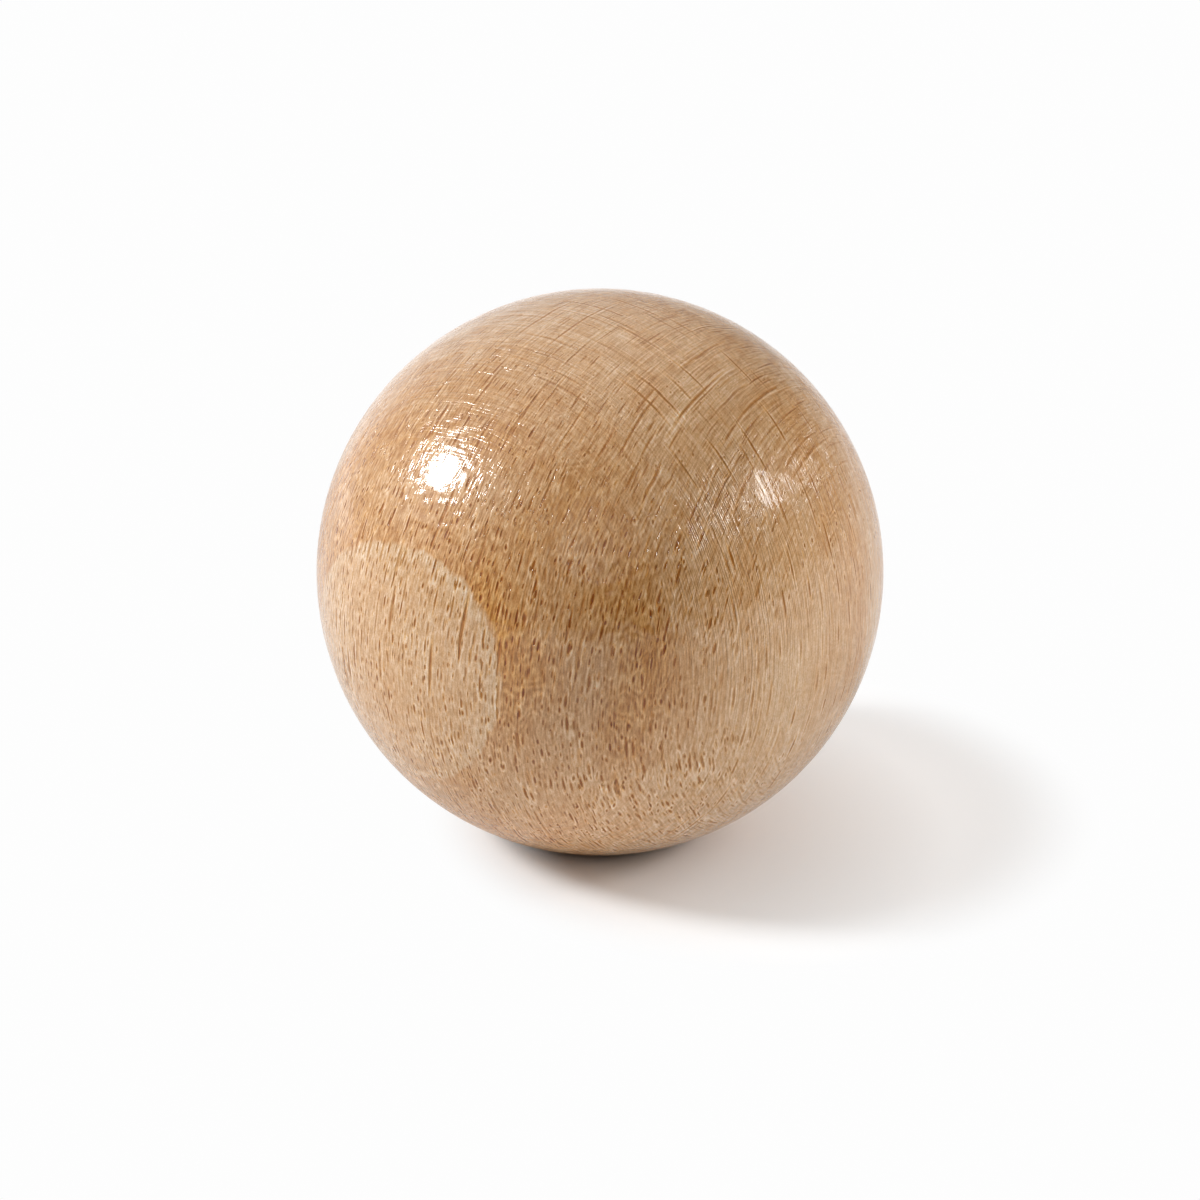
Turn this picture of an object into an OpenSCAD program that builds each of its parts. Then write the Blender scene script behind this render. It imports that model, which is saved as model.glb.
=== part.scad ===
// Wooden ball knob for a cabinet door or drawer front.
// A ball of light hardwood is turned between centres and faced off to a small flat.
// A threaded metal insert is pressed into the flat, and the fixing screw comes in from behind.
// Millimetres. Z = 0 is the flat, and +Z points out along the knob's axis.

/* [Ball] */
// Diameter of the turned ball
ball_d = 35; // [28:0.5:45]
// Diameter of the level part of the flat that meets the door
flat_d = 12; // [11:0.5:16]
// Radius that softens the edge between the ball and the flat
edge_r = 1; // [0.5:0.25:2]

/* [Thread] */
// Nominal diameter of the metric fixing screw
thread_d = 4; // [3:0.5:5]
// Pitch of the screw thread
thread_pitch = 0.7; // [0.5:0.05:0.8]

/* [Threaded insert] */
// Length of the insert from its mouth to its inner end
insert_l = 9; // [8:0.5:11]
// Metal left outside the thread's crests
insert_wall = 0.8; // [0.6:0.1:1]
// How far the mouth sits below the flat, so that the wood alone meets the door
insert_sink = 0.4; // [0.4:0.1:0.8]
// Number of ring barbs that hold the insert against pull
barb_count = 4; // [3:1:5]
// Height of a barb above the insert's body
barb_h = 0.4; // [0.2:0.05:0.5]
// Length of the knurled collar that stops the insert from turning
collar_l = 1.4; // [1:0.1:2]
// Number of teeth round the collar
knurl_teeth = 24; // [18:1:30]
// Depth of the collar's teeth
knurl_h = 0.25; // [0.15:0.05:0.3]

/* [Hole in the ball] */
// Depth of the hole past the insert, for the end of the screw
runout = 4; // [2:0.5:6]
// Room all round the screw in the part of the hole past the insert
screw_gap = 0.15; // [0.1:0.05:0.3]
// Chamfer that clears splinters from the hole's mouth
mouth_chamfer = 0.3; // [0.2:0.05:0.4]

/* [Hidden] */
$fn = 160;

// The edge round touches the flat at the flat's rim and the ball from inside, and that fixes
// how high the ball's centre stands.
ball_r = ball_d / 2;
flat_r = flat_d / 2;
centre_z = edge_r + sqrt(pow(ball_r - edge_r, 2) - pow(flat_r, 2));
touch_x = flat_r * ball_r / (ball_r - edge_r);
touch_z = centre_z - (centre_z - edge_r) * ball_r / (ball_r - edge_r);

// The insert runs out along +Z from its mouth: knurled collar, neck, barbs and a tapered lead.
bore_r = (thread_d - thread_pitch) / 2;
body_r = thread_d / 2 + insert_wall;
tip_r = body_r + barb_h;
knurl_root_r = tip_r - knurl_h;
neck_l = 0.6;
lead_l = 1;
lead_taper = 0.3;
barb_land = 0.15;
barb_start = collar_l + neck_l;
barb_pitch = (insert_l - barb_start - lead_l) / barb_count;
countersink_r = thread_d / 2 + 0.15;
countersink_l = countersink_r - bore_r;

// The hole follows the insert, and a twist drill has left a cone at its end.
mouth_r = tip_r + 0.1;
runout_r = thread_d / 2 + screw_gap;
drill_point_angle = 118;
drill_point_l = runout_r / tan(drill_point_angle / 2);
overcut = 1;

// The flank of each barb slopes towards the inner end, and its square shoulder faces the mouth.
function barb_points() = [
    for (i = [0 : barb_count - 1])
        let (z = barb_start + i * barb_pitch)
            each [
                [body_r, z],
                [tip_r, z],
                [tip_r, z + barb_land],
                [body_r, z + barb_pitch]
            ]
];

// Half section of the ball, with its flat and edge round
module ball_section() {
    intersection() {
        translate([0, centre_z])
            circle(r = ball_r);
        translate([0, touch_z])
            square(ball_d);
    }
    polygon([[0, 0], [flat_r, 0], [touch_x, touch_z], [0, touch_z]]);
    intersection() {
        translate([flat_r, edge_r])
            circle(r = edge_r);
        translate([flat_r - edge_r / 2, 0])
            square([2 * edge_r, touch_z]);
    }
}

// A ring of straight V teeth
module knurl(length) {
    step = 180 / knurl_teeth;
    linear_extrude(length)
        polygon([
            for (i = [0 : 2 * knurl_teeth - 1])
                let (r = i % 2 == 0 ? tip_r : knurl_root_r)
                    r * [cos(i * step), sin(i * step)]
        ]);
}

// The hole that the insert is pressed into: chamfered mouth, grip on the collar and barbs,
// a shoulder that the inner end seats on, and the screw's runout
module insert_hole() {
    rotate_extrude()
        polygon(concat(
            [
                [0, -insert_sink - overcut],
                [mouth_r + mouth_chamfer + overcut, -insert_sink - overcut],
                [mouth_r, mouth_chamfer - insert_sink],
                [mouth_r, 0],
                [body_r, 0]
            ],
            barb_points(),
            [
                [body_r, insert_l],
                [runout_r, insert_l],
                [runout_r, insert_l + runout],
                [0, insert_l + runout + drill_point_l]
            ]
        ));
    knurl(collar_l);
}

module knob_ball() {
    color([0.80, 0.62, 0.42])
        difference() {
            rotate_extrude()
                ball_section();
            translate([0, 0, insert_sink])
                insert_hole();
        }
}

// Body of the insert, turned from bar: neck, barbs and a taper that leads into the hole
module insert_body() {
    rotate_extrude()
        polygon(concat(
            [[0, 0], [body_r, 0]],
            barb_points(),
            [
                [body_r, insert_l - lead_l],
                [body_r - lead_taper, insert_l],
                [0, insert_l]
            ]
        ));
}

// Knurled collar, with its teeth chamfered to half their depth at the mouth
module insert_collar() {
    chamfer_r = tip_r - knurl_h / 2;
    intersection() {
        knurl(collar_l);
        cylinder(h = collar_l, r1 = chamfer_r, r2 = chamfer_r + collar_l);
    }
}

// Tapped bore at the thread's minor diameter, countersunk at both ends
module threaded_bore() {
    rotate_extrude()
        polygon([
            [0, -overcut],
            [countersink_r + overcut, -overcut],
            [bore_r, countersink_l],
            [bore_r, insert_l - countersink_l],
            [countersink_r + overcut, insert_l + overcut],
            [0, insert_l + overcut]
        ]);
}

module threaded_insert() {
    color([0.80, 0.65, 0.34])
        translate([0, 0, insert_sink])
            difference() {
                union() {
                    insert_body();
                    insert_collar();
                }
                threaded_bore();
            }
}

knob_ball();
threaded_insert();
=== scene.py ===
"""Turned hardwood ball knob for a cabinet door, lacquered clear, with a threaded insert."""
import math

import bpy
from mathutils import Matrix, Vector


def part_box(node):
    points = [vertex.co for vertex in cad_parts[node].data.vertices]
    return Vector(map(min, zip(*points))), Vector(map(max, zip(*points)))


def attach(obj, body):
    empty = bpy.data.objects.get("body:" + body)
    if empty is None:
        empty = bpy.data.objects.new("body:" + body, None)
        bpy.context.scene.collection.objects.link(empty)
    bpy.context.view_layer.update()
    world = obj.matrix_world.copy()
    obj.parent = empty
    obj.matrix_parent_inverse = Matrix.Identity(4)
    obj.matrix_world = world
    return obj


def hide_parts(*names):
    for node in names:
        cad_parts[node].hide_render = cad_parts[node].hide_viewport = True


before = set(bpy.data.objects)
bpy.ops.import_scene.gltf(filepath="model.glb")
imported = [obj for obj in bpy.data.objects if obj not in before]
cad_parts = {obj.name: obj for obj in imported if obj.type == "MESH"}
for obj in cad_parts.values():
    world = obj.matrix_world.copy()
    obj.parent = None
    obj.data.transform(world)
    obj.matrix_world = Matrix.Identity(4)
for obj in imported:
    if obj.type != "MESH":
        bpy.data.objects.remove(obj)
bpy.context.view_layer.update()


# ---------------------------------------------------------------------------------------------
# Camera.
# It looks down on the standing knob from the front, from about a hand's span away, with a long
# lens. The knob stands a little above the middle of the picture.

PICTURE_SIDE = 1200
SENSOR_WIDTH = 36.0
NEAREST_SEEN = 0.01
ball_low, ball_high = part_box("knob_ball")
BALL_RADIUS = (ball_high.x - ball_low.x) / 2
BALL_CENTRE = Vector((0, 0, ball_high.z - BALL_RADIUS))
CAMERA_DISTANCE = 12 * BALL_RADIUS
CAMERA_ELEVATION = math.radians(22)
# The ball's radius in the picture, and how far its centre is above the middle, in pixels
BALL_IN_PICTURE = 283.5
BALL_ABOVE_MIDDLE = 28

focal_pixels = BALL_IN_PICTURE / math.tan(math.asin(BALL_RADIUS / CAMERA_DISTANCE))
to_camera = Vector((0, -math.cos(CAMERA_ELEVATION), math.sin(CAMERA_ELEVATION)))
camera_up = Vector((0, math.sin(CAMERA_ELEVATION), math.cos(CAMERA_ELEVATION)))
look_at = BALL_CENTRE - camera_up * (BALL_ABOVE_MIDDLE / focal_pixels * CAMERA_DISTANCE)

camera_data = bpy.data.cameras.new("camera")
camera_data.sensor_width = SENSOR_WIDTH
camera_data.lens = focal_pixels / PICTURE_SIDE * SENSOR_WIDTH
camera_data.clip_start = NEAREST_SEEN
camera = bpy.data.objects.new("camera", camera_data)
camera.location = BALL_CENTRE + to_camera * CAMERA_DISTANCE
camera.rotation_euler = (look_at - camera.location).to_track_quat("-Z", "Y").to_euler()
bpy.context.scene.collection.objects.link(camera)
bpy.context.scene.camera = camera
bpy.context.scene.view_settings.view_transform = "Standard"


# ---------------------------------------------------------------------------------------------
# Knob ball.
# One piece of pale, diffuse-porous hardwood, turned on a lathe with the grain along the knob's
# axis, sanded, and dipped in clear gloss lacquer. All its marks come from cutting one block:
# growth rings stand upright in it, and rays run through it as thin ribbons at right angles to them.

# Directions of the block: outwards across the rings, along the rings, and along the fibres
ACROSS_RINGS = Vector((-0.624, -0.781, 0.0)).normalized()
ALONG_RINGS = Vector((0.779, -0.622, -0.077)).normalized()
ALONG_FIBRES = ALONG_RINGS.cross(ACROSS_RINGS).normalized() * -1

MM = 0.001
PITH_DISTANCE = 52.0

# Late wood, from pale (0) to dark (1), at depths across the rings in ball radii
RING_TONES = (
    (-1.00, 0.20), (-0.87, 0.35), (-0.84, 0.85), (-0.80, 0.45), (-0.62, 0.10),
    (-0.55, 0.35), (-0.53, 0.95), (-0.48, 0.50), (-0.36, 0.12), (-0.28, 0.30),
    (-0.20, 0.52), (-0.10, 0.42), (-0.03, 0.33), (0.05, 0.20), (0.20, 0.08),
    (0.38, 0.22), (0.50, 0.38), (0.58, 0.50), (0.64, 0.82), (0.68, 0.95),
    (0.74, 0.80), (0.80, 0.64), (0.86, 0.60), (0.93, 0.60), (1.00, 0.60),
)

# The tone that the rings fade towards at the top
PLAIN_TONE = 0.60

# The newest ring's edge, in millimetres: its depth straight out from the ball's centre, how it
# leans along the rings and along the fibres, how one lean changes with the other, and how it curves
NEWEST_DEPTH = 16.23
NEWEST_LEAN_ALONG_RINGS = -0.128
NEWEST_LEAN_ALONG_FIBRES = -0.0624
NEWEST_TWIST = 0.0119
NEWEST_CURVE = (("Y", 0.0147), ("Z", 0.0068))
# Tone past that edge, and the change of tone in a thin line along it
NEWEST_TONE = 0.20
NEWEST_LINE = -0.25

PALE_WOOD = (0.865, 0.575, 0.335, 1)
DARK_WOOD = (0.675, 0.295, 0.064, 1)
CELL_TINT = (0.50, 0.30, 0.05, 1)
CELL_STAIN = (0.98, 0.80, 0.42, 1)

# Rays are ribbons deep across the rings, up to a few millimetres tall and a tenth of one thick.
# Seams are thin layers of soft cells that follow the rings. Vessels run along the fibres: dots on
# end grain, lines on the sides. Spacing and half size are across the rings, along them and along
# the fibres, and these and the depth pulled in are in millimetres. Each cell has a chance from 0
# to 1. Under shown_from it doesn't show, and above that it is the stronger the higher it is.
# The rim lift of each kind is a painted glint: it lightens the wood just outside each cell
CELL_KINDS = {
    "short rays": {
        "spacing": (5, 0.44, 1.5), "half_size": (3.4, 0.057, 0.60), "softness": 0.3,
        "shown_from": 0.25, "strength": 1.15, "painted_glint_lift": 0.36, "pulled_in": 0.030,
    },
    "fine rays": {
        "spacing": (2.2, 0.24, 0.78), "half_size": (1.4, 0.047, 0.30), "softness": 0.3,
        "shown_from": 0.2, "strength": 1.15, "painted_glint_lift": 0.26, "pulled_in": 0.030,
    },
    "long rays": {
        "spacing": (6, 1.3, 3.0), "half_size": (3.9, 0.074, 1.7), "softness": 0.3,
        "shown_from": 0.1, "strength": 0.80, "painted_glint_lift": 0.42, "pulled_in": 0.034,
    },
    "seams": {
        "spacing": (0.95, 4.2, 2.6), "half_size": (0.074, 3.2, 1.2), "softness": 0.35,
        "shown_from": 0.1, "strength": 0.85, "painted_glint_lift": 0.42, "pulled_in": 0.034,
    },
    "vessels": {
        "spacing": (0.42, 0.40, 2.6), "half_size": (0.064, 0.056, 0.9), "softness": 0.3,
        "shown_from": 0.2, "strength": 1.2, "painted_glint_lift": 0.40, "pulled_in": 0.052,
    },
}

# Size of the lumps of noise, in millimetres across the rings, along them and along the fibres
LAYER_SIZE = (0.075, 1.6, 3.0)
FIBRE_SIZE = (1.5, 0.080, 0.6)
GRIT_SIZE = (0.068, 0.066, 0.11)
CURL_SIZE = (2.0, 0.9, 2.2)
CURL_LINES = 7.0
# Light in the darkest and in the lightest part of each
LAYER_LIGHT = (0.86, 1.10)
FIBRE_LIGHT = (0.71, 1.21)
GRIT_LIGHT = (0.88, 1.13)
# How far each lifts the lacquer's skin, in millimetres for each unit of its noise
SKIN_HEIGHT = 0.057
CURL_HEIGHT = 0.0022
FIBRE_HEIGHT = 0.020
LAYER_HEIGHT = 0.050

# Where the lacquer ends and where the wood is quite bare, in millimetres: up from the flat, out
# from the hole's side and up to the hole's end
FLAT_EDGE = (0.12, 0.04)
HOLE_SIDE = (3.6, 3.5)
HOLE_END = (16.2, 16.0)
LACQUER_IOR = 1.5
LACQUER_COAT = 0.5
LACQUER_ROUGHNESS = (0.10, 0.15)
COAT_ROUGHNESS = 0.06
BARE_ROUGHNESS = 0.6


def node(tree, kind, inputs=None, **settings):
    """One shader node, with its options set and its inputs linked or filled."""
    made = tree.nodes.new(kind)
    for option, value in settings.items():
        setattr(made, option, value)
    for key, value in (inputs or {}).items():
        if isinstance(value, bpy.types.NodeSocket):
            tree.links.new(value, made.inputs[key])
        else:
            made.inputs[key].default_value = value
    return made


def calc(tree, operation, *values, clamp=False):
    """A number worked out by a Math node."""
    made = node(tree, "ShaderNodeMath", dict(enumerate(values)), operation=operation)
    made.use_clamp = clamp
    return made.outputs[0]


def vector(tree, operation, *values):
    """A vector, or a length or dot product, worked out by a Vector Math node."""
    made = node(tree, "ShaderNodeVectorMath", dict(enumerate(values)), operation=operation)
    return made.outputs["Value" if operation in ("DOT_PRODUCT", "LENGTH") else "Vector"]


def fit(tree, value, low, high, to_low=0.0, to_high=1.0, smooth=False):
    """A value brought from one range to another, and held inside it."""
    inputs = {"Value": value, "From Min": low, "From Max": high, "To Min": to_low, "To Max": to_high}
    kind = "SMOOTHSTEP" if smooth else "LINEAR"
    return node(tree, "ShaderNodeMapRange", inputs, interpolation_type=kind).outputs["Result"]


def blend(tree, amount, first, second, how="MIX"):
    """Two colours mixed by an amount."""
    made = tree.nodes.new("ShaderNodeMix")
    made.data_type = "RGBA"
    made.blend_type = how
    for key, value in (("Factor_Float", amount), ("A_Color", first), ("B_Color", second)):
        socket = next(s for s in made.inputs if s.identifier == key)
        if isinstance(value, bpy.types.NodeSocket):
            tree.links.new(value, socket)
        else:
            socket.default_value = value
    return next(s for s in made.outputs if s.identifier == "Result_Color")


def noise(tree, where, cell, detail=2.0, roughness=0.5, colour=False):
    """Noise whose lumps measure cell (x, y, z)."""
    scaled = vector(tree, "DIVIDE", where, cell)
    inputs = {"Vector": scaled, "Scale": 1.0, "Detail": detail, "Roughness": roughness}
    made = node(tree, "ShaderNodeTexNoise", inputs)
    return made.outputs["Color" if colour else "Fac"]


def millimetres(tree, point):
    """A point in metres brought to millimetres."""
    scaled = vector(tree, "SCALE", point)
    scaled.node.inputs["Scale"].default_value = 1 / MM
    return scaled


def new_group(name, inputs, outputs):
    """A shader node group with named sockets, and the sockets to build between."""
    tree = bpy.data.node_groups.new(name, "ShaderNodeTree")
    for label, kind, value in inputs:
        socket = tree.interface.new_socket(label, in_out="INPUT", socket_type="NodeSocket" + kind)
        socket.default_value = value
    for label, kind in outputs:
        tree.interface.new_socket(label, in_out="OUTPUT", socket_type="NodeSocket" + kind)
    return tree, tree.nodes.new("NodeGroupInput").outputs, tree.nodes.new("NodeGroupOutput").inputs


def place_group(tree, group, inputs):
    """The outputs of a node group placed in another tree."""
    made = tree.nodes.new("ShaderNodeGroup")
    made.node_tree = group
    for key, value in inputs.items():
        if isinstance(value, bpy.types.NodeSocket):
            tree.links.new(value, made.inputs[key])
        else:
            made.inputs[key].default_value = value
    return made.outputs


def make_grain_frame():
    """A point on the knob, in millimetres across the rings, along them and along the fibres."""
    tree, given, result = new_group(
        "Grain Frame", [("Point", "Vector", (0, 0, 0))], [("Grain", "Vector")]
    )
    in_mm = millimetres(tree, vector(tree, "SUBTRACT", given["Point"], tuple(BALL_CENTRE)))
    parts = {
        axis: vector(tree, "DOT_PRODUCT", in_mm, tuple(direction))
        for axis, direction in enumerate((ACROSS_RINGS, ALONG_RINGS, ALONG_FIBRES))
    }
    # Rays fan out from the middle of the tree
    fan = calc(tree, "DIVIDE", PITH_DISTANCE, calc(tree, "ADD", parts[0], PITH_DISTANCE))
    parts[1] = calc(tree, "MULTIPLY", parts[1], fan)
    straight = node(tree, "ShaderNodeCombineXYZ", parts).outputs[0]
    # Fibres wander a little to each side of straight
    wander = noise(tree, straight, (5, 5, 9), detail=3.0, roughness=0.6, colour=True)
    wander = vector(tree, "SUBTRACT", wander, (0.5, 0.5, 0.5))
    wander = vector(tree, "MULTIPLY", wander, (0.4, 0.4, 0))
    tree.links.new(vector(tree, "ADD", straight, wander), result["Grain"])
    return tree


def make_growth_rings():
    """Late wood from 0 to 1: each band starts at a sharp, slightly wavy edge and fades away."""
    tree, given, result = new_group(
        "Growth Rings",
        [("Grain", "Vector", (0, 0, 0)), ("Wave", "Float", 0.6), ("Ripple", "Float", 0.15)],
        [("Late Wood", "Float")],
    )
    parts = node(tree, "ShaderNodeSeparateXYZ", {0: given["Grain"]}).outputs
    slow = calc(tree, "SUBTRACT", noise(tree, given["Grain"], (30, 6, 8), detail=0.0), 0.5)
    quick = calc(tree, "SUBTRACT", noise(tree, given["Grain"], (9, 0.8, 1.6), detail=1.0), 0.5)
    depth = calc(tree, "MULTIPLY_ADD", slow, given["Wave"], parts["X"])
    depth = calc(tree, "MULTIPLY_ADD", quick, given["Ripple"], depth)
    radius = BALL_RADIUS / MM
    along_ramp = fit(tree, depth, -radius, radius)
    ramp = node(tree, "ShaderNodeValToRGB", {"Fac": along_ramp})
    stops = ramp.color_ramp.elements
    stops.remove(stops[1])
    for count, (ring_depth, tone) in enumerate(RING_TONES):
        stop = stops[0] if count == 0 else stops.new((ring_depth + 1) / 2)
        stop.position = (ring_depth + 1) / 2
        stop.color = (tone, tone, tone, 1)
    # The rings show less towards the end grain at the top
    contrast = fit(tree, parts["Z"], 1, 8, 1.05, 0.45)
    away = calc(tree, "SUBTRACT", ramp.outputs["Color"], PLAIN_TONE)
    late = calc(tree, "MULTIPLY_ADD", away, contrast, PLAIN_TONE)
    late = calc(tree, "MULTIPLY", late, fit(tree, parts["Z"], -6, 0, 0.5, 1.0), clamp=True)
    # The newest ring lies only in the cap on one side, and its edge shows there as an oval
    edge = calc(tree, "SUBTRACT", parts["X"], NEWEST_DEPTH)
    leaning = calc(tree, "MULTIPLY_ADD", parts["Y"], NEWEST_TWIST, NEWEST_LEAN_ALONG_FIBRES)
    edge = calc(tree, "MULTIPLY_ADD", parts["Z"], leaning, edge)
    edge = calc(tree, "MULTIPLY_ADD", parts["Y"], NEWEST_LEAN_ALONG_RINGS, edge)
    for axis, curve in NEWEST_CURVE:
        squared = calc(tree, "MULTIPLY", parts[axis], parts[axis])
        edge = calc(tree, "MULTIPLY_ADD", squared, curve, edge)
    edge = calc(tree, "MULTIPLY_ADD", quick, 0.25, edge)
    # The late wood before it darkens towards its edge
    one_side = fit(tree, parts["Y"], -2, 3)
    darker = calc(tree, "MULTIPLY", fit(tree, edge, -2.0, -0.05, 0.0, 0.3), one_side)
    late = calc(tree, "ADD", late, darker, clamp=True)
    # Past the edge the wood is pale, and palest in a thin line along it
    newest = fit(tree, edge, -0.05, 0.05)
    to_newest = calc(tree, "SUBTRACT", NEWEST_TONE, late)
    late = calc(tree, "ADD", late, calc(tree, "MULTIPLY", newest, to_newest))
    line_ends = fit(tree, edge, 0.15, 0.32, 1.0, 0.0)
    line = calc(tree, "MULTIPLY", fit(tree, edge, -0.03, 0.08), line_ends)
    late = calc(tree, "MULTIPLY_ADD", line, NEWEST_LINE, late)
    tree.links.new(late, result["Late Wood"])
    return tree


def make_cut_cells():
    """Long cells scattered through the block, shown where the surface cuts them.

    Spacing is the distance between cells and Half Size their half thickness, each across the
    rings, along the rings and along the fibres, in millimetres. Mask is the cell itself and Stain
    the wood coloured round it. Past that lies a painted glint: pale wood standing for light caught
    on the hollow's edge. Chance differs from cell to cell.
    """
    tree, given, result = new_group(
        "Cut Cells",
        [
            ("Grain", "Vector", (0, 0, 0)),
            ("Spacing", "Vector", (1, 1, 1)),
            ("Half Size", "Vector", (1, 1, 1)),
            ("Softness", "Float", 0.5),
        ],
        [("Mask", "Float"), ("Stain", "Float"), ("Painted Glint", "Float"), ("Chance", "Float")],
    )
    scaled = vector(tree, "DIVIDE", given["Grain"], given["Spacing"])
    cells = node(
        tree, "ShaderNodeTexVoronoi", {"Vector": scaled, "Scale": 1.0, "Randomness": 1.0}
    ).outputs
    away = vector(tree, "SUBTRACT", scaled, cells["Position"])
    away = vector(tree, "MULTIPLY", away, given["Spacing"])
    chances = node(tree, "ShaderNodeSeparateColor", {0: cells["Color"]}).outputs
    thinner = fit(tree, chances["Red"], 0, 1, 1.35, 0.8)
    shorter = fit(tree, chances["Green"], 0, 1, 2.0, 0.7)
    stretch = node(tree, "ShaderNodeCombineXYZ", {"X": 1.0, "Y": thinner, "Z": shorter}).outputs[0]
    shape = vector(tree, "DIVIDE", vector(tree, "MULTIPLY", away, stretch), given["Half Size"])
    # Reach is 1 at the cell's edge and grows outwards from it
    reach = vector(tree, "LENGTH", shape)
    solid = calc(tree, "SUBTRACT", 1.0, given["Softness"])
    mask = fit(tree, reach, solid, 1.0, 1.0, 0.0, smooth=True)
    stain = fit(tree, reach, 0.8, 1.6, 1.0, 0.0)
    # A painted glint: a pale band just outside the stain, standing for light caught on the hollow's
    # edge
    painted_glint = calc(tree, "MULTIPLY", fit(tree, reach, 1.3, 1.8), fit(tree, reach, 2.0, 2.7, 1.0, 0.0))
    tree.links.new(mask, result["Mask"])
    tree.links.new(stain, result["Stain"])
    tree.links.new(painted_glint, result["Painted Glint"])
    tree.links.new(chances["Blue"], result["Chance"])
    return tree


grain_frame = make_grain_frame()
growth_rings = make_growth_rings()
cut_cells = make_cut_cells()


def strongest(tree, values):
    """The highest of several values."""
    highest = values[0]
    for value in values[1:]:
        highest = calc(tree, "MAXIMUM", highest, value)
    return highest


def cells_of_one_kind(tree, grain, kind, shown):
    """Mask, stain and rim of one kind of cell, each cell as strong as its chance makes it."""
    inputs = {
        "Grain": grain,
        "Spacing": kind["spacing"],
        "Half Size": kind["half_size"],
        "Softness": kind["softness"],
    }
    placed = place_group(tree, cut_cells, inputs)
    strength = fit(tree, placed["Chance"], kind["shown_from"], 1.0, 0.0, kind["strength"])
    strength = calc(tree, "MULTIPLY", strength, shown)
    parts = ("Mask", "Stain", "Painted Glint")
    return {part: calc(tree, "MULTIPLY", placed[part], strength) for part in parts}


def grain_marks(tree, grain):
    """All that the grain shows: each kind of cell, layers, fibres, grit and curl."""
    places = node(tree, "ShaderNodeSeparateXYZ", {0: grain}).outputs
    across, along, up = (calc(tree, "ABSOLUTE", places[axis]) for axis in "XYZ")
    # Ribbons and layers cut flat show plain wood, so they fade where the surface runs along them
    ribbons_on_edge = fit(tree, along, 11, 16.5, 1.0, 0.1)
    layers_on_edge = fit(tree, across, 8, 14, 1.0, 0.1)
    seams_on_edge = fit(tree, across, 6.5, 11, 1.0, 0.0)
    vessels_on_end = fit(tree, up, 2.5, 6, 0.25, 1.0)
    # Short rays, fine rays and vessels are fainter at the top
    fainter_above = fit(tree, places["Z"], 8, 12, 1.0, 0.6)
    rays_on_edge = calc(tree, "MULTIPLY", ribbons_on_edge, fainter_above)
    shown = {
        "short rays": rays_on_edge,
        "fine rays": rays_on_edge,
        "long rays": ribbons_on_edge,
        "seams": seams_on_edge,
        "vessels": calc(tree, "MULTIPLY", vessels_on_end, fainter_above),
    }
    marks = {
        name: cells_of_one_kind(tree, grain, kind, shown[name]) for name, kind in CELL_KINDS.items()
    }

    # Layers, fibres and grit run all through the wood, and each is noise centred on 0
    layers = calc(tree, "SUBTRACT", noise(tree, grain, LAYER_SIZE, detail=0.0), 0.5)
    fibres = calc(tree, "SUBTRACT", noise(tree, grain, FIBRE_SIZE, detail=0.0), 0.5)
    marks["layers"] = calc(tree, "MULTIPLY", layers, layers_on_edge)
    marks["fibres"] = calc(tree, "MULTIPLY", fibres, ribbons_on_edge)
    marks["grit"] = calc(tree, "SUBTRACT", noise(tree, grain, GRIT_SIZE, detail=0.0), 0.5)
    # Curly fibres show as fine lines that follow each other like those of a fingerprint
    curl = noise(tree, grain, CURL_SIZE, detail=0.0)
    marks["curl"] = calc(tree, "SINE", calc(tree, "MULTIPLY", curl, CURL_LINES * math.tau))
    return marks


def grain_lightness_and_glints(tree, late, marks):
    """How light the wood is at a point, where 1 is its plain colour, with painted glints by the
    cells.
    """
    # Fibres, curl and the painted glints beside the cells show most in the late wood
    coarse = fit(tree, late, 0.4, 0.9)
    fibres = calc(tree, "MULTIPLY", marks["fibres"], calc(tree, "MULTIPLY_ADD", coarse, 0.9, 1.0))
    light = fit(tree, fibres, -0.3, 0.3, *FIBRE_LIGHT)
    light = calc(tree, "MULTIPLY", light, fit(tree, marks["layers"], -0.15, 0.15, *LAYER_LIGHT))
    light = calc(tree, "MULTIPLY", light, fit(tree, marks["grit"], -0.2, 0.2, *GRIT_LIGHT))
    curl = calc(tree, "MULTIPLY", marks["curl"], calc(tree, "MULTIPLY_ADD", coarse, 0.16, 0.06))
    light = calc(tree, "MULTIPLY", light, calc(tree, "ADD", curl, 0.99))
    # Each cell's painted glint lightens the wood just outside it
    for name, kind in CELL_KINDS.items():
        lift = calc(tree, "MULTIPLY_ADD", coarse, kind["painted_glint_lift"] / 2, kind["painted_glint_lift"])
        light = calc(tree, "MULTIPLY_ADD", marks[name]["Painted Glint"], lift, light)
    return light


def wood_colour(tree, grain, late, marks):
    """Pale to dark wood by the rings, with the grain's light and the cells' tint over it."""
    clouds = noise(tree, grain, (2.6, 2.2, 4.5), detail=2.0, roughness=0.55)
    tone = calc(tree, "ADD", late, fit(tree, clouds, 0.3, 0.7, -0.14, 0.14), clamp=True)
    wood = blend(tree, tone, PALE_WOOD, DARK_WOOD)
    # Where the wood darkens it turns a deeper orange too
    light = grain_lightness_and_glints(tree, late, marks)
    red = calc(tree, "POWER", light, 0.62)
    blue = calc(tree, "POWER", light, 1.6)
    shade = node(tree, "ShaderNodeCombineXYZ", {0: red, 1: light, 2: blue}).outputs[0]
    wood = vector(tree, "MULTIPLY", wood, shade)
    stain = strongest(tree, [marks[name]["Stain"] for name in CELL_KINDS])
    wood = blend(tree, stain, wood, CELL_STAIN, "MULTIPLY")
    cut = strongest(tree, [marks[name]["Mask"] for name in CELL_KINDS])
    return blend(tree, cut, wood, CELL_TINT, "MULTIPLY")


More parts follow.
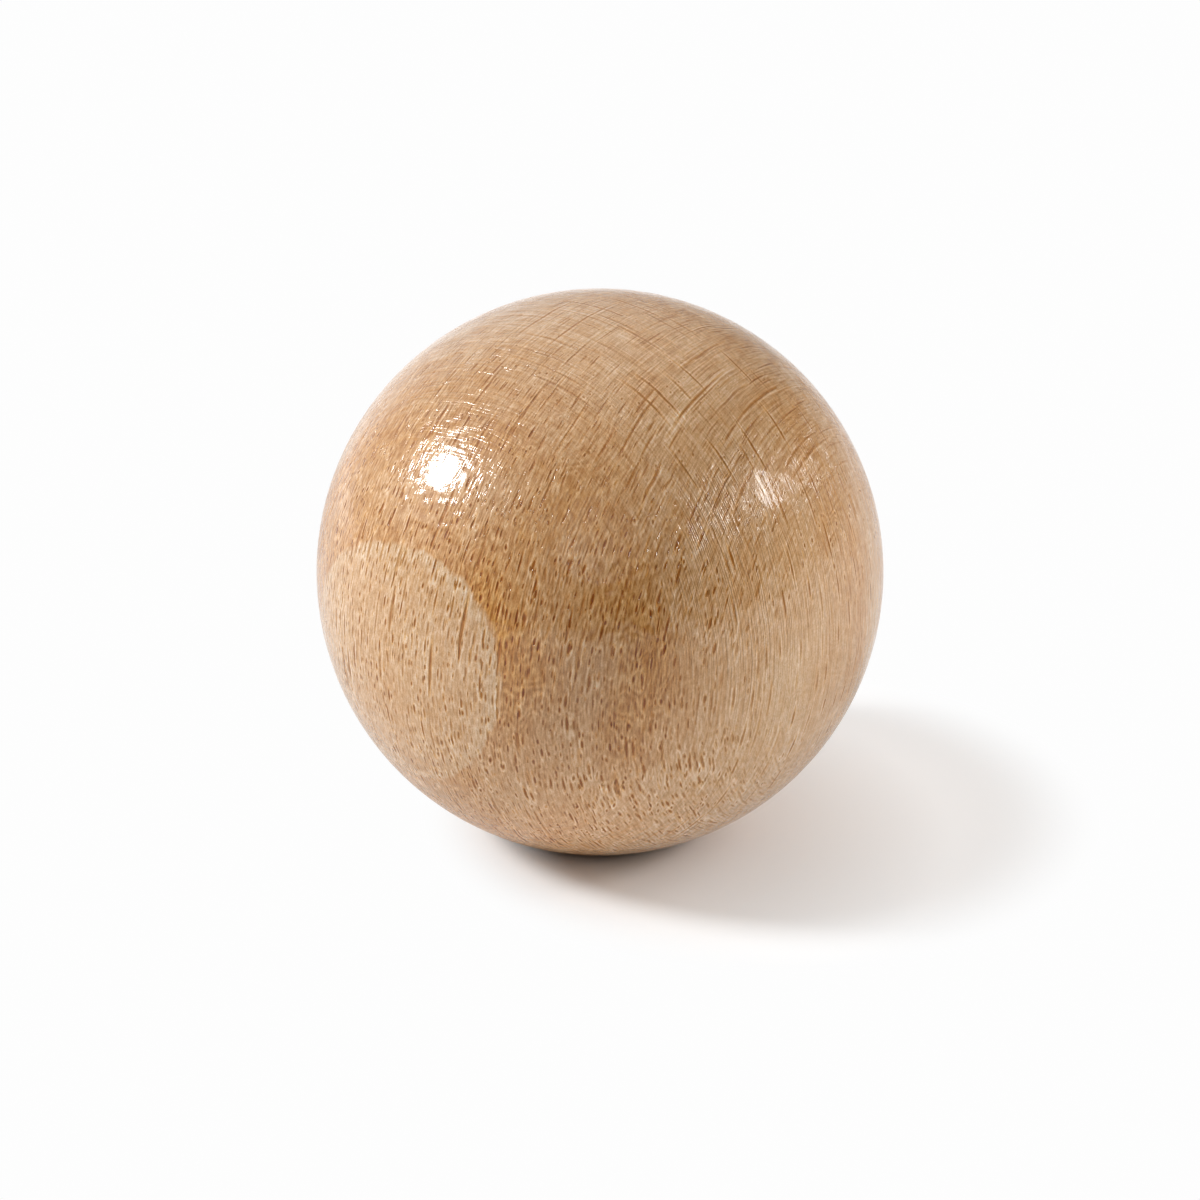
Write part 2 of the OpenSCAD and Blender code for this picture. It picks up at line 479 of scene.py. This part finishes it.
def wood_relief(tree, grain, marks):
    """Height in millimetres: the lacquer follows the fibres, and cells are pulled in."""
    skin = noise(tree, grain, (0.6, 0.48, 0.54), detail=0.0)
    relief = calc(tree, "MULTIPLY", skin, SKIN_HEIGHT)
    relief = calc(tree, "MULTIPLY_ADD", marks["curl"], CURL_HEIGHT, relief)
    relief = calc(tree, "MULTIPLY_ADD", marks["fibres"], FIBRE_HEIGHT, relief)
    relief = calc(tree, "MULTIPLY_ADD", marks["layers"], LAYER_HEIGHT, relief)
    for name, kind in CELL_KINDS.items():
        relief = calc(tree, "MULTIPLY_ADD", marks[name]["Mask"], -kind["pulled_in"], relief)
    return relief


def lacquer_gloss(tree, point, marks):
    """Roughness and coat: the cells have no coat, and the flat and the hole are bare wood."""
    places = node(tree, "ShaderNodeSeparateXYZ", {0: millimetres(tree, point)}).outputs
    level = node(tree, "ShaderNodeCombineXYZ", {0: places["X"], 1: places["Y"]}).outputs[0]
    beside_axis = fit(tree, vector(tree, "LENGTH", level), *HOLE_SIDE)
    in_hole = calc(tree, "MULTIPLY", beside_axis, fit(tree, places["Z"], *HOLE_END))
    bare = calc(tree, "MAXIMUM", in_hole, fit(tree, places["Z"], *FLAT_EDGE))
    roughness = fit(tree, marks["grit"], -0.2, 0.2, *LACQUER_ROUGHNESS)
    roughness = calc(tree, "MAXIMUM", roughness, calc(tree, "MULTIPLY", bare, BARE_ROUGHNESS))
    sunk = [marks[name]["Mask"] for name in CELL_KINDS if name != "fine rays"]
    uncoated = strongest(tree, [bare] + sunk)
    coat = calc(tree, "MULTIPLY_ADD", uncoated, -LACQUER_COAT, LACQUER_COAT)
    coat = calc(tree, "MULTIPLY", coat, fit(tree, marks["layers"], -0.03, 0.0))
    return roughness, coat


def lacquered_hardwood():
    """The knob's wood: colour, gloss and relief, all from the one block of grain."""
    material = bpy.data.materials.new("lacquered_hardwood")
    material.use_nodes = True
    tree = material.node_tree
    shader = tree.nodes["Principled BSDF"]
    shader.inputs["IOR"].default_value = LACQUER_IOR
    shader.inputs["Coat IOR"].default_value = LACQUER_IOR
    shader.inputs["Coat Roughness"].default_value = COAT_ROUGHNESS

    point = node(tree, "ShaderNodeTexCoord").outputs["Object"]
    grain = place_group(tree, grain_frame, {"Point": point})["Grain"]
    late = place_group(tree, growth_rings, {"Grain": grain})["Late Wood"]
    marks = grain_marks(tree, grain)
    tree.links.new(wood_colour(tree, grain, late, marks), shader.inputs["Base Color"])
    relief = wood_relief(tree, grain, marks)
    bump = node(tree, "ShaderNodeBump", {"Height": relief, "Distance": MM, "Strength": 1.0})
    tree.links.new(bump.outputs["Normal"], shader.inputs["Normal"])
    roughness, coat = lacquer_gloss(tree, point, marks)
    tree.links.new(roughness, shader.inputs["Roughness"])
    tree.links.new(coat, shader.inputs["Coat Weight"])
    return material


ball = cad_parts["knob_ball"]
ball.data.materials.clear()
ball.data.materials.append(lacquered_hardwood())


# ---------------------------------------------------------------------------------------------
# Threaded insert.
# A brass sleeve turned from bar, with a knurled collar at its mouth, ring barbs along its body and
# an M4 thread tapped through it. It is pressed into the flat, and the fixing screw comes up it.

INSERT_SINK = 0.4
INSERT_LENGTH = 9.0
COLLAR_LENGTH = 1.4
NECK_LENGTH = 0.6
LEAD_LENGTH = 1.0
LEAD_TAPER = 0.3
BARB_COUNT = 4
BARB_LAND = 0.15
THREAD_PITCH = 0.7
THREAD_MAJOR_RADIUS = 2.0
THREAD_MINOR_RADIUS = THREAD_MAJOR_RADIUS - THREAD_PITCH / 2
COUNTERSINK_RADIUS = THREAD_MAJOR_RADIUS + 0.15
BODY_RADIUS = THREAD_MAJOR_RADIUS + 0.8
TIP_RADIUS = BODY_RADIUS + 0.4
KNURL_TEETH = 24
KNURL_ROOT_RADIUS = TIP_RADIUS - 0.25
# As parts of the pitch: half the flat on an internal metric thread's crest, and a flank's width
CREST_HALF_FLAT = 0.125
FLANK_WIDTH = 0.3125
STEPS_ROUND = 144
STEPS_PER_PITCH = 16
SHARP_ANGLE = math.radians(25)
BRIGHT_BRASS = (0.80, 0.60, 0.27, 1)
DULL_BRASS = (0.70, 0.48, 0.19, 1)
TOOL_MARK_HEIGHT = 0.006


def outside_rows():
    """Heights and radii down the outside of the insert, from its mouth to its inner end."""
    chamfer = TIP_RADIUS - (TIP_RADIUS - KNURL_ROOT_RADIUS) / 2
    rows = [(0, "collar", chamfer), (TIP_RADIUS - chamfer, "collar", TIP_RADIUS)]
    rows += [(COLLAR_LENGTH, "collar", TIP_RADIUS), (COLLAR_LENGTH, "round", BODY_RADIUS)]
    barbs_from = COLLAR_LENGTH + NECK_LENGTH
    pitch = (INSERT_LENGTH - barbs_from - LEAD_LENGTH) / BARB_COUNT
    for barb in range(BARB_COUNT):
        start = barbs_from + barb * pitch
        rows += [(start, "round", BODY_RADIUS), (start, "round", TIP_RADIUS)]
        rows += [(start + BARB_LAND, "round", TIP_RADIUS)]
    rows += [(INSERT_LENGTH - LEAD_LENGTH, "round", BODY_RADIUS)]
    rows += [(INSERT_LENGTH, "round", BODY_RADIUS - LEAD_TAPER)]
    return rows


def collar_radius(turn, limit):
    """Radius of the knurl at a fraction of a turn, cut back to the collar's chamfer."""
    tooth = turn * KNURL_TEETH % 1
    down = min(tooth, 1 - tooth) * 2
    return min(limit, TIP_RADIUS - (TIP_RADIUS - KNURL_ROOT_RADIUS) * down)


def thread_radius(turn, height):
    """Radius of the tapped bore, with the countersink at each end."""
    flank = (height / THREAD_PITCH - turn) % 1
    cut = min(max((min(flank, 1 - flank) - CREST_HALF_FLAT) / FLANK_WIDTH, 0), 1)
    thread = THREAD_MINOR_RADIUS + (THREAD_MAJOR_RADIUS - THREAD_MINOR_RADIUS) * cut
    return max(thread, COUNTERSINK_RADIUS - min(height, INSERT_LENGTH - height))


rings = []
for height, form, limit in outside_rows():
    ring = []
    for step in range(STEPS_ROUND):
        turn = step / STEPS_ROUND
        ring.append((collar_radius(turn, limit) if form == "collar" else limit, turn, height))
    rings.append(ring)
bore_rows = round(INSERT_LENGTH / THREAD_PITCH * STEPS_PER_PITCH)
for row in range(bore_rows + 1):
    height = INSERT_LENGTH * (1 - row / bore_rows)
    ring = []
    for step in range(STEPS_ROUND):
        turn = step / STEPS_ROUND
        ring.append((thread_radius(turn, height), turn, height))
    rings.append(ring)

insert_points = []
for ring in rings:
    for radius, turn, height in ring:
        x = radius * MM * math.cos(math.tau * turn)
        y = radius * MM * math.sin(math.tau * turn)
        insert_points.append((x, y, (height + INSERT_SINK) * MM))
insert_faces = []
for row in range(len(rings)):
    after = (row + 1) % len(rings)
    for step in range(STEPS_ROUND):
        beside = (step + 1) % STEPS_ROUND
        insert_faces.append((
            row * STEPS_ROUND + step, row * STEPS_ROUND + beside,
            after * STEPS_ROUND + beside, after * STEPS_ROUND + step,
        ))
insert_mesh = bpy.data.meshes.new("insert")
insert_mesh.from_pydata(insert_points, [], insert_faces)
insert_mesh.shade_smooth()
insert_mesh.set_sharp_from_angle(angle=SHARP_ANGLE)


def turned_brass():
    """Bright brass with the fine rings that a lathe tool leaves."""
    material = bpy.data.materials.new("turned_brass")
    material.use_nodes = True
    tree = material.node_tree
    shader = tree.nodes["Principled BSDF"]
    point = millimetres(tree, node(tree, "ShaderNodeTexCoord").outputs["Object"])
    places = node(tree, "ShaderNodeSeparateXYZ", {0: point}).outputs
    level = node(tree, "ShaderNodeCombineXYZ", {0: places["X"], 1: places["Y"]}).outputs[0]
    radius = vector(tree, "LENGTH", level)
    tool_path = node(tree, "ShaderNodeCombineXYZ", {0: radius, 1: places["Z"]}).outputs[0]
    marks = noise(tree, tool_path, (0.05, 0.05, 1), detail=1.0)
    stain = noise(tree, point, (0.9, 0.9, 0.9), detail=2.0)
    colour = blend(tree, fit(tree, stain, 0.35, 0.7), BRIGHT_BRASS, DULL_BRASS)
    tree.links.new(colour, shader.inputs["Base Color"])
    tree.links.new(fit(tree, stain, 0.3, 0.7, 0.24, 0.38), shader.inputs["Roughness"])
    shader.inputs["Metallic"].default_value = 1.0
    height = calc(tree, "MULTIPLY", marks, TOOL_MARK_HEIGHT)
    bump = node(tree, "ShaderNodeBump", {"Height": height, "Distance": MM, "Strength": 1.0})
    tree.links.new(bump.outputs["Normal"], shader.inputs["Normal"])
    return material


insert_mesh.materials.append(turned_brass())
insert = bpy.data.objects.new("threaded_insert_brass", insert_mesh)
bpy.context.scene.collection.objects.link(insert)
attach(insert, "root")
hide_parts("threaded_insert")


# ---------------------------------------------------------------------------------------------
# Studio.
# A white floor, a soft lamp to the left, a small and a wide one to the right, and a weak one in
# front. Past the knob's shadow the floor is plain white, as paper is in a lit booth.

FLOOR_HALF_SIDE = 1.5
WHITE = (0.985, 0.985, 0.985, 1)
FLOOR_PAPER = (0.95, 0.94, 0.93, 1)
PAPER_IN_SHADOW = (0.745, 0.735, 0.73, 1)
PAPER_LIFT = 0.496
# The shadow's oval on the paper and the painted shade under the ball, in millimetres
SHADOW_MIDDLE = (10.3, 0.5, 0.0)
SHADOW_HALF = (21.6, 21.8, 1.0)
PAINTED_SHADE_MIDDLE = (-0.15, -2.8, 0.0)
PAINTED_SHADE_INSIDE = 3.8
PAINTED_SHADE_OUTSIDE = 22.2
# How strongly shiny things see the paper glow: fading away from the knob, and stronger behind it
MIRRORED_NEAR = 0.6
MIRRORED_BEHIND = 1.6
MIRRORED_FROM = 50
MIRRORED_TO = 700


def seen_directly(tree):
    """1 on rays from the camera and off shiny or clear things, 0 on light that the paper gives."""
    path = node(tree, "ShaderNodeLightPath").outputs
    shiny = calc(tree, "ADD", path["Is Glossy Ray"], path["Is Transmission Ray"])
    return calc(tree, "ADD", path["Is Camera Ray"], shiny, clamp=True)


def floor_paper():
    """White paper that keeps the knob's shadow and is plain white past it."""
    material = bpy.data.materials.new("floor_paper")
    material.use_nodes = True
    tree = material.node_tree
    tree.nodes.remove(tree.nodes["Principled BSDF"])
    output = tree.nodes["Material Output"]
    point = node(tree, "ShaderNodeTexCoord").outputs["Object"]
    camera_ray = node(tree, "ShaderNodeLightPath").outputs["Is Camera Ray"]
    paper = node(tree, "ShaderNodeBsdfDiffuse", {"Color": FLOOR_PAPER}).outputs[0]
    seen_paper = node(tree, "ShaderNodeBsdfDiffuse", {"Color": PAPER_IN_SHADOW}).outputs[0]
    # The paper glows a little more the further it is from the ball, which paints shade round the
    # ball. Shiny things see less of the glow beside the knob and more of it behind.
    in_mm = millimetres(tree, point)
    from_painted_shade = vector(tree, "LENGTH", vector(tree, "SUBTRACT", in_mm, PAINTED_SHADE_MIDDLE))
    # No glow next to the ball: a painted shade under it that deepens the real shadow
    lift = fit(tree, from_painted_shade, PAINTED_SHADE_INSIDE, PAINTED_SHADE_OUTSIDE, 0.0, PAPER_LIFT)
    from_axis = vector(tree, "LENGTH", in_mm)
    mirrored = fit(tree, from_axis, MIRRORED_FROM, MIRRORED_TO, MIRRORED_NEAR, 0.0)
    places = node(tree, "ShaderNodeSeparateXYZ", {0: in_mm}).outputs
    behind = fit(tree, places["Y"], 40, 160, 0.0, MIRRORED_BEHIND)
    behind = calc(tree, "MULTIPLY", behind, fit(tree, places["X"], -50, 150, 1.0, 0.5))
    mirrored = calc(tree, "MAXIMUM", mirrored, behind)
    lift = calc(tree, "MULTIPLY", lift, calc(tree, "MAXIMUM", camera_ray, mirrored))
    lift = node(tree, "ShaderNodeEmission", {"Strength": lift}).outputs[0]
    lifted = node(tree, "ShaderNodeAddShader", {0: seen_paper, 1: lift}).outputs[0]
    # Shiny things see the lit paper and the shadow, and the camera plain white past the shadow
    plain = node(tree, "ShaderNodeEmission", {"Color": WHITE}).outputs[0]
    in_oval = vector(tree, "SUBTRACT", in_mm, SHADOW_MIDDLE)
    in_oval = vector(tree, "DIVIDE", in_oval, SHADOW_HALF)
    oval = vector(tree, "LENGTH", in_oval)
    whitened = calc(tree, "MULTIPLY", fit(tree, oval, 0.66, 1.0, smooth=True), camera_ray)
    seen = node(tree, "ShaderNodeMixShader", {0: whitened, 1: lifted, 2: plain}).outputs[0]
    mixing = {0: seen_directly(tree), 1: paper, 2: seen}
    mixed = node(tree, "ShaderNodeMixShader", mixing).outputs[0]
    tree.links.new(mixed, output.inputs["Surface"])
    return material


floor_mesh = bpy.data.meshes.new("floor")
corners = [
    (FLOOR_HALF_SIDE * x, FLOOR_HALF_SIDE * y, 0) for x, y in ((-1, -1), (1, -1), (1, 1), (-1, 1))
]
floor_mesh.from_pydata(corners, [], [(0, 1, 2, 3)])
floor_mesh.materials.append(floor_paper())
floor = bpy.data.objects.new("floor", floor_mesh)
bpy.context.scene.collection.objects.link(floor)


def soft_lamp(name, towards, distance, width, watts, mirrored=True):
    """A round soft lamp, given by its direction and distance from the ball's centre."""
    light = bpy.data.lights.new(name, "AREA")
    light.shape = "DISK"
    light.size = width
    light.energy = watts
    lamp = bpy.data.objects.new(name, light)
    direction = Vector(towards).normalized()
    lamp.location = BALL_CENTRE + direction * distance
    lamp.rotation_euler = (-direction).to_track_quat("-Z", "Y").to_euler()
    lamp.visible_glossy = mirrored
    bpy.context.scene.collection.objects.link(lamp)


soft_lamp("lamp_left", (-0.822, 0.020, 0.569), distance=0.6, width=0.13, watts=2.85)
soft_lamp("lamp_right", (0.89, -0.02, 0.48), distance=0.6, width=0.13, watts=0.75)
soft_lamp(
    "lamp_right_wide", (0.879, 0.119, 0.462), distance=0.6, width=0.50, watts=1.6, mirrored=False
)
soft_lamp("lamp_front", (0.0, -0.82, 0.57), distance=0.8, width=0.50, watts=0.5)

world = bpy.data.worlds.new("booth")
world.use_nodes = True
bpy.context.scene.world = world
sky = world.node_tree
background = sky.nodes["Background"]
facing = node(sky, "ShaderNodeTexCoord").outputs["Generated"]
side = node(sky, "ShaderNodeSeparateXYZ", {0: facing}).outputs
path = node(sky, "ShaderNodeLightPath").outputs
# Shiny things see soft white cloths to the left, overhead and behind, and a dark room in front.
# Each cloth has its direction, its strength and how tightly it is gathered round that direction.
ray = vector(sky, "NORMALIZE", facing)
cloths = calc(sky, "MULTIPLY", fit(sky, side["X"], 0.2, -0.5, smooth=True), 0.25)
for towards, strength, tightness in (
    ((-0.823, -0.015, 0.566), 1.9, 8.0),
    ((0.0, 0.17, 0.985), 1.3, 8.0),
    ((0.0, 0.82, 0.57), 0.85, 8.0),
    ((-0.42, 0.906, 0.05), 0.85, 12.0),
):
    near = calc(sky, "MAXIMUM", vector(sky, "DOT_PRODUCT", ray, towards), 0.0)
    cloths = calc(sky, "MULTIPLY_ADD", calc(sky, "POWER", near, tightness), strength, cloths)
glossy = calc(sky, "MULTIPLY", cloths, path["Is Glossy Ray"])
direct = calc(sky, "MAXIMUM", path["Is Camera Ray"], path["Is Transmission Ray"])
sky_level = calc(sky, "MAXIMUM", glossy, direct)
sky.links.new(sky_level, background.inputs["Strength"])
background.inputs["Color"].default_value = WHITE
